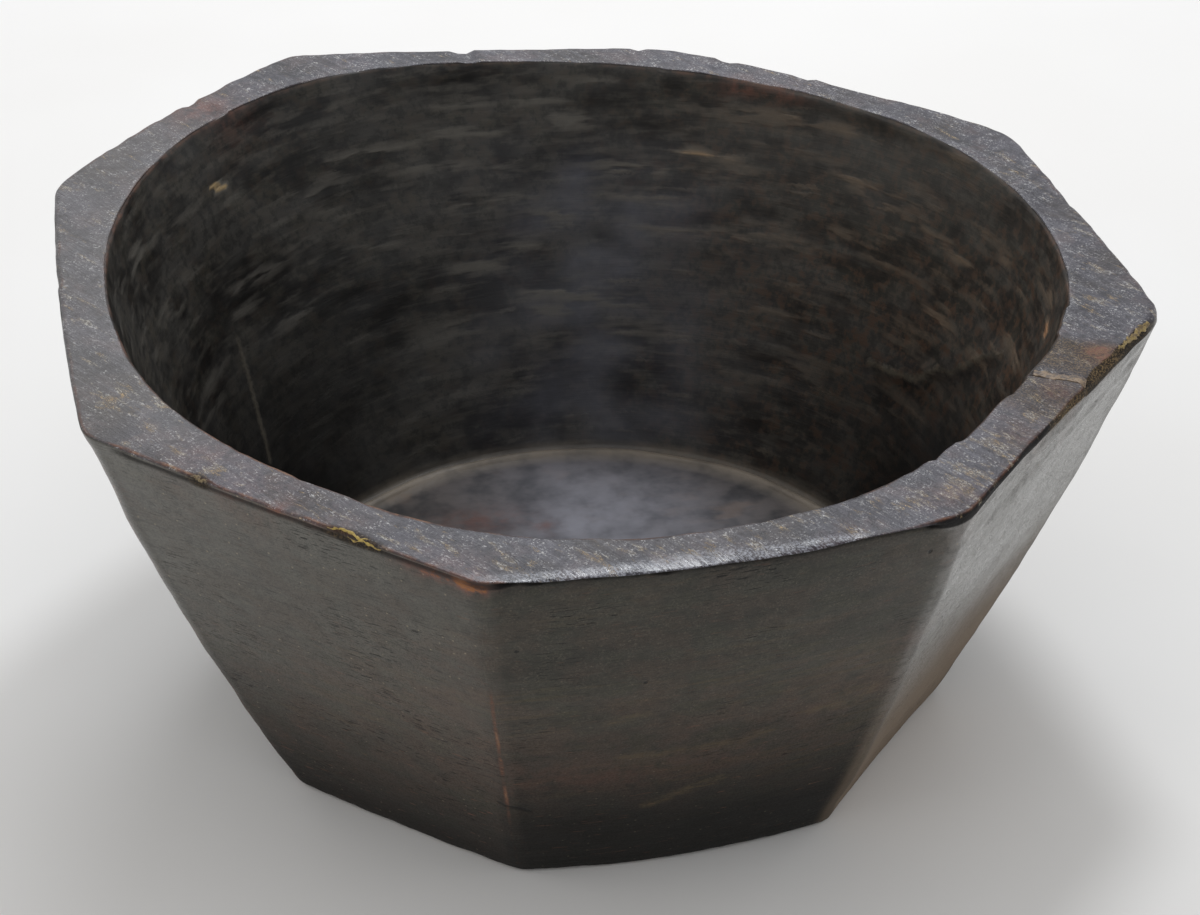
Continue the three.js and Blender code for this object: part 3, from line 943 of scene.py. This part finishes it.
def hollow_colour(w, p):
    dab_colour = w.blend(p.warm, rgb(0.135, 0.13, 0.115), rgb(0.15, 0.105, 0.068))
    glow = w.blend(p.warm, rgb(0.45, 0.34, 0.17), rgb(0.52, 0.26, 0.13))
    side = w.layers(
        w.blend(p.clouds(0.4, 0.62), rgb(0.0046, 0.0045, 0.0042), rgb(0.052, 0.05, 0.045)),
        ((0.052, 0.036, 0.026), p.warm * 0.4),
        ((0.066, 0.061, 0.046), p.patches(0.46, 0.68) * 0.5),
        ((0.085, 0.045, 0.026), p.warm * 0.9 * p.mottle(0.46, 0.6) * p.patches(0.34, 0.56)),
        ((0.092, 0.084, 0.07), p.dapple(0.48, 0.66) * 0.45),
        ((0.006, 0.0055, 0.005), p.mottle(0.38, 0.54, 1, 0) * 0.5),
        ((0.07, 0.066, 0.056), p.dust * 0.55 * p.patches(0.3, 0.6, 0.5, 1)),
        # painted sheen: the bluish stripe up the back wall
        ((0.104, 0.106, 0.126), p.bloom * 0.7 * p.patches(0.25, 0.7, 0.6, 1)),
        (dab_colour, p.dabs * 0.8),
        (glow, p.pale(0.9, 2.2) * p.mottle(0.3, 0.5, 0.5, 1)),
        # painted shade
        ((0.0035, 0.0033, 0.003), p.shade * 0.85),
    )
    bottom = w.layers(
        w.blend(p.patches(0.3, 0.65), rgb(0.016, 0.014, 0.013), rgb(0.075, 0.06, 0.05)),
        ((0.15, 0.095, 0.058), p.clouds(0.52, 0.66) * p.dapple(0.42, 0.6) * 0.6),
        # painted sheen: the pale bluish patch on the floor
        ((0.3, 0.302, 0.345), p.bloom * 0.87 * p.patches(0.2, 0.7, 0.5, 1) * p.clouds(0.35, 0.6, 0.8, 1)),
    )
    # The bead is pale: worn wood, and a painted highlight where its ridge catches the light
    return w.layers(side, (bottom, p.floor), ((0.25, 0.21, 0.165), p.bead * p.patches(0.3, 0.6, 0.6, 1)))


def rim_colour(w, p):
    # The ground's grey is the wood's, and its blue-purple tint a painted reflection of the bluish sky
    return w.layers(
        w.blend(p.broad(0.35, 0.65), rgb(0.028, 0.025, 0.033), rgb(0.074, 0.068, 0.085)),
        ((0.135, 0.095, 0.094), p.patches(0.48, 0.68) * 0.5),
        ((0.062, 0.045, 0.033), p.clouds(0.47, 0.6) * p.patches(0.34, 0.56, 1, 0.4) * 0.55),
        ((0.13, 0.13, 0.15), p.lines(0.48, 0.66) * 0.35),
        ((0.014, 0.012, 0.016), p.fine(0.34, 0.5, 1, 0) * 0.5),
        ((0.014, 0.012, 0.015), p.mottle(0.3, 0.48, 1, 0) * 0.7),
        ((0.014, 0.013, 0.016), p.speck(0.34, 0.46, 1, 0) * 0.65),
        ((0.24, 0.235, 0.255), p.fine(0.57, 0.68) * 0.35),
        ((0.56, 0.55, 0.54), p.powder * 0.9),
        # painted glints: bluish-white specks in the polished part of the rim, where its highlight falls
        ((0.34, 0.35, 0.39), p.speck(0.46, 0.56) * p.fine(0.4, 0.56) * p.polish(0.15, 0.8) * 0.75),
        ((0.22, 0.205, 0.185), p.dust * 0.26),
    )


# The three grounds, then what lies over them: pores, dirt, red and worn wood, painted shade, filler and
# marks
def wood_colour(w, p):
    dot_seen = (1 - p.inside) * (p.dust + p.rim)(0, 0.8, 0.25, 1) * p.rim(0, 1, 1, 0.6)
    rubbed = p.red * p.mottle(0.3, 0.66, 0.1, 1.3)
    bright = w.blend(p.rim, rgb(0.33, 0.125, 0.028), rgb(0.36, 0.16, 0.115))
    near_edge = (p.edge_gap + p.mottle * 1.2 + p.speck * 0.5)(0.95, 1.6, 1, 0)
    worn = near_edge * p.edge_amount * p.mottle(0.32, 0.6, 0.4, 1.2) * p.patches(0.3, 0.6, 0.4, 1.2)
    fleck_colour = w.blend(p.mottle(0.42, 0.58), rgb(0.72, 0.5, 0.26), rgb(0.8, 0.75, 0.62))
    streak = p.streak * p.outside * p.fine(0.36, 0.58) * p.mottle(0.36, 0.56, 0.3, 1)
    return w.layers(
        outside_colour(w, p),
        (hollow_colour(w, p), p.inside),
        (rim_colour(w, p), p.rim),
        ((0.045, 0.036, 0.028), p.under),
        ((0.005, 0.0045, 0.004), p.pores * 0.9),
        ((0.17, 0.075, 0.045), p.red_dash * 0.55 * p.outside * (p.warm + 0.25)),
        ((0.36, 0.3, 0.21), p.dot * 0.6 * dot_seen),
        ((0.2, 0.078, 0.054), rubbed * 0.65),
        (bright, rubbed(0.7, 1.6) * p.fine(0.36, 0.52) * 0.9),
        # painted shade under the rim's outer edge
        ((0.003, 0.0025, 0.0025), p.dark_edge * 0.95),
        ((0.13, 0.055, 0.032), worn(0.1, 0.8) * 0.75),
        ((0.3, 0.155, 0.08), worn(0.6, 1.1) * 0.7),
        ((0.04, 0.027, 0.015), p.crumble * 0.8),
        ((0.26, 0.175, 0.085), p.crumble * p.speck(0.47, 0.58) * 0.85),
        # painted shade in the chips' scoops
        ((0.012, 0.009, 0.007), p.pocket * p.mottle(0.3, 0.6, 1, 0.5) * 0.85),
        ((0.26, 0.2, 0.12), p.filled * 0.16 * p.rim),
        (fleck_colour, p.fleck * p.glint(0.35, 0.6, 0.45, 1)),
        ((0.12, 0.104, 0.078), p.scratch * 0.42 * p.inside),
        # a pale tan line along the check in the right wall, partly a painted highlight on its proud upper
        # lip
        ((0.15, 0.13, 0.095), p.check * 0.42 * p.inside * p.patches(0.25, 0.55, 0.3, 1)),
        ((0.115, 0.082, 0.04), streak * 0.5),
        ((0.004, 0.0035, 0.003), p.dark_marks * 0.9),
    )


def wood_roughness(w, p):
    total = p.fine(0.3, 0.7, 0.27, 0.38) + p.pores * 0.2 + p.dabs * 0.12 + p.fleck * 0.15 + p.crumble * 0.3
    total = total + p.pocket * 0.3 + p.powder * 0.1 + p.clouds(0.3, 0.7, -0.03, 0.05) + p.inside * 0.1
    total = total + p.under * 0.25 + p.edge_gap(0.5, 3, 1, 0) * -0.05 + p.rim * 0.06 + p.dark_edge * 0.6
    total = total + p.grime * 0.5 + p.floor * 0.12 + p.polish * -0.2 + p.streaks * 0.34 + p.slick * -0.13
    total = total + p.tan * 0.35 + p.outside * p.speck(0.35, 0.65, 0.08, -0.04)
    total = total + p.slick * p.speck(0.36, 0.55, 0.26, 0)
    return w.math("MINIMUM", w.most(total, 0.13), 0.9)


# In millimetres. The polished part of the rim is smoother, so that its highlight stays in one piece.
def wood_relief(p):
    relief = p.fine * (0.015 + p.rim * p.polish(0, 0.8, 0.06, 0.014) + p.inside * 0.02)
    relief = relief + p.lines * (0.04 + p.rim * p.polish(0, 0.7, 0.04, 0))
    relief = relief + p.mottle * p.outside * 0.06 + p.mottle * p.rim * p.polish(0, 0.7, 0.15, 0.03)
    relief = relief + p.patches * 0.08 + p.speck * p.outside * 0.03
    relief = relief + p.speck * p.rim * p.polish(0, 0.7, 0.1, 0.02)
    relief = relief + p.pores * -0.08 + p.fleck * 0.04 + p.dabs * 0.06 + p.crumble * p.speck * 0.5
    relief = relief + p.pocket * p.mottle * 0.6 + p.dark_marks * -0.25
    return relief + p.check * p.inside * 0.12 + p.scratch * p.inside * -0.08


def wood_material():
    w = Recipe("dark_wood_worn")
    w.shader.inputs["Specular IOR Level"].default_value = 0.34
    p = wood_patterns(w)
    return w.finish(wood_colour(w, p), wood_roughness(w, p), wood_relief(p))


def filler_material(name, bright, dull):
    w = Recipe(name)
    lumps = w.noise(w.place(), 1.1)
    grit = w.noise(w.place(), 0.35, 3, 0.65, move=5)
    colour = w.blend(lumps(0.36, 0.62), rgb(*dull), rgb(*bright))
    colour = w.layers(colour, ((0.07, 0.035, 0.016), grit(0.55, 0.68) * 0.7))
    return w.finish(colour, grit(0.3, 0.7, 0.3, 0.6), lumps * 0.3 + grit * 0.12)


def table_material():
    w = Recipe("pale_table")
    cloud = w.noise(w.place(), 1 / (6 * MM), 3, 0.5)
    colour = w.blend(cloud(0.3, 0.7), rgb(0.85, 0.83, 0.8), rgb(0.88, 0.865, 0.84))
    return w.finish(colour, 0.6, cloud * 0.02)


# The bowl
points = np.concatenate([skin.reshape(-1, 3), [[0, 0, 0], [0, 0, floor_thickness]]])
bowl = make_object("carved_bowl", points, closed_faces(ROWS, COLUMNS), wood_material())
for name, values in paint.items():
    ends = [values[0].mean(), values[-1].mean()]
    layer = bowl.data.attributes.new(name, "FLOAT", "POINT")
    layer.data.foreach_set("value", np.concatenate([values.ravel(), ends]).astype(np.float32))
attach(bowl, "root")
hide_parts("bowl_body")


# The skin's section across the edge at a place along a chip: points, and how far each is from the edge
def edge_section(chip, place):
    centre, axes = chip_frame(chip)
    columns = np.where((column_side == chip["side"]) & ~column_is_corner)[0]
    where = (skin[outer_ring, columns] - centre) @ axes[0]
    spot = np.interp(place * chip["length"] / 2, where, np.arange(len(columns)))
    low = min(int(spot), len(columns) - 2)
    before, after = 12, 14
    rows = slice(outer_ring - before, outer_ring + after)
    section = lerp(skin[rows, columns[low]], skin[rows, columns[low + 1]], spot - low)
    steps = np.linalg.norm(np.diff(section, axis=0), axis=-1)
    reach = np.concatenate([[0], np.cumsum(steps)])
    return section, reach - reach[before], axes[0]


# A lumpy vein of filler that lies along the worn edge and is drawn out at its ends
def vein(chip, first, last, shift, waver, half_width, half_height, seed):
    stations, around = 40, 12
    phases = np.random.default_rng(seed).uniform(0, TAU, 6)
    half_step = 0.3
    points = []
    for station in range(stations):
        share = station / (stations - 1)
        section, reach, along = edge_section(chip, lerp(first, last, share))
        body = math.sqrt(max(1 - (share * 2 - 1) ** 2, 0.02))
        sway = shift + waver * (math.sin(9 * share + phases[0]) + 0.5 * math.sin(21 * share + phases[1]))
        at, beyond = (np.array([np.interp(sway + step, reach, section[:, axis]) for axis in range(3)])
                      for step in (-half_step, half_step))
        over = unit(beyond - at)
        out = unit(np.cross(along, over))
        for angle in TAU * np.arange(around) / around:
            lump = 1 + 0.25 * math.sin(2 * angle + phases[2] + 13 * share)
            lump += 0.2 * math.sin(37 * share + phases[3])
            lump += 0.15 * math.sin(3 * angle + phases[4] - 59 * share)
            points.append((at + beyond) / 2 + over * (half_width * body * lump * math.cos(angle))
                          + out * (half_height * body * lump * math.sin(angle) - 0.3 * half_height))
    return closed_points(points, around), closed_faces(stations, around)


# Bright and dull colour of each filler
gold_filler = filler_material("old_filler_gold", (0.46, 0.33, 0.075), (0.21, 0.135, 0.045))
tan_filler = filler_material("old_filler_tan", (0.27, 0.20, 0.095), (0.11, 0.080, 0.055))
pale_filler = filler_material("old_filler_pale", (0.26, 0.18, 0.11), (0.085, 0.064, 0.052))
ochre_filler = filler_material("old_filler_ochre", (0.36, 0.26, 0.09), (0.16, 0.11, 0.05))

# Piece, material and veins of each chip: from, to, shift to the hollow, waver, half width and half height
fillings = {
    "front_chip_filler": ("gold_in_front_chip", gold_filler, [
        (-0.96, 0.50, 0.55, 0.22, 0.30, 0.22), (-0.30, 0.97, -0.35, 0.25, 0.26, 0.2)]),
    "left_chip_filler": ("gold_in_left_chip", tan_filler, [(-0.8, 0.8, 0.1, 0.2, 0.40, 0.25)]),
    "right_chip_filler": ("gold_in_right_chip", ochre_filler, [
        (-0.62, 0.97, 0.05, 0.10, 0.85, 0.42), (-0.98, -0.40, 0.3, 0.2, 0.45, 0.26)]),
}
for number, (node, (name, material, veins)) in enumerate(fillings.items()):
    points, faces = [], []
    for order, sizes in enumerate(veins):
        more_points, more_faces = vein(chips[node], *sizes, seed=number * 5 + order)
        faces += [tuple(index + len(points) for index in face) for face in more_faces]
        points += more_points.tolist()
    filling = make_object(name, points, faces, material)
    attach(filling, "root")
    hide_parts(node)


# Filler in the crack: a strip flush with the rim on both of its sides
def crack_strip():
    stations, around = 48, 14
    half_width, end_gap, shift = 1.15, 1.1, -0.4
    crown, root_depth = 0.09, 0.9
    phases = np.random.default_rng(9).uniform(0, TAU, 6)
    reach = np.linalg.norm(crack_outer - crack_inner) / 2 - end_gap
    rim_skin = flush_rim.reshape(-1, 3)
    points = []
    for place in np.linspace(-1, 1, stations):
        waver = 0.2 * math.sin(4 * place + phases[0]) + 0.12 * math.sin(11 * place + phases[1])
        plan = crack_middle + crack_along * (place * reach + shift) + crack_side * waver
        half = half_width + 0.16 * math.sin(6 * place + phases[2]) + 0.12 * math.sin(17 * place + phases[3])
        for angle in TAU * np.arange(around) / around:
            spot = plan + crack_side * (half * math.cos(angle))
            away = np.linalg.norm(rim_skin[:, :2] - spot, axis=-1)
            nearest = np.argsort(away)[:4]
            share = 1 / (away[nearest] + 0.1)
            top = (rim_skin[nearest, 2] * share).sum() / share.sum()
            rise = math.sin(angle) * (crown if math.sin(angle) > 0 else root_depth)
            rise += 0.03 * math.sin(23 * place + 3 * angle + phases[4])
            points.append([*spot, top + rise])
    faces = closed_faces(stations, around)
    return make_object("filler_in_crack", closed_points(points, around), faces, pale_filler)


strip = crack_strip()
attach(strip, "root")
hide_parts("rim_crack_filler")

# The table, in metres, and a hair under the bowl
far = 4.0
table_drop = 0.00005
table_mesh = bpy.data.meshes.new("table")
table_mesh.from_pydata([(-far, -far, 0), (far, -far, 0), (far, far, 0), (-far, far, 0)], [], [(0, 1, 2, 3)])
table_mesh.materials.append(table_material())
table = bpy.data.objects.new("table", table_mesh)
table.location.z = -table_drop
bpy.context.scene.collection.objects.link(table)

# Light: a pale sky all round, two soft lamps above and behind, and a weak one at the left
sky_colour = (0.97, 0.98, 1.0, 1)
sky_strength = 0.65
scene = bpy.context.scene
world = bpy.data.worlds.new("studio")
scene.world = world
world.use_nodes = True
world.node_tree.nodes["Background"].inputs[0].default_value = sky_colour
world.node_tree.nodes["Background"].inputs[1].default_value = sky_strength


def soft_lamp(name, location, size, power, colour):
    lamp = bpy.data.lights.new(name, "AREA")
    lamp.shape = "DISK"
    lamp.size = size
    lamp.energy = power
    lamp.color = colour
    holder = bpy.data.objects.new(name, lamp)
    holder.location = location
    holder.rotation_mode = "QUATERNION"
    holder.rotation_quaternion = (-Vector(location)).to_track_quat("-Z", "Y")
    scene.collection.objects.link(holder)


cool, warm_white = (0.93, 0.96, 1.0), (1.0, 0.98, 0.95)
soft_lamp("back_lamp", (0.12, 0.76, 0.80), 0.45, 2.2, cool)
soft_lamp("top_lamp", (0.20, 0.40, 0.94), 0.20, 2.7, cool)
soft_lamp("left_lamp", (-0.85, -0.30, 0.70), 0.6, 0.9, warm_white)

# The camera, where the photograph was taken from, in metres
camera_place = (-0.11528, -0.50150, 0.35458)
camera_tilt = radians(59.412)
camera_turn = radians(-13.085)
view = bpy.data.cameras.new("camera")
view.sensor_width = 36
view.sensor_fit = "HORIZONTAL"
view.lens = 84.0
camera = bpy.data.objects.new("camera", view)
camera.location = camera_place
camera.rotation_euler = (camera_tilt, 0, camera_turn)
scene.collection.objects.link(camera)
scene.camera = camera
scene.view_settings.view_transform = "Standard"
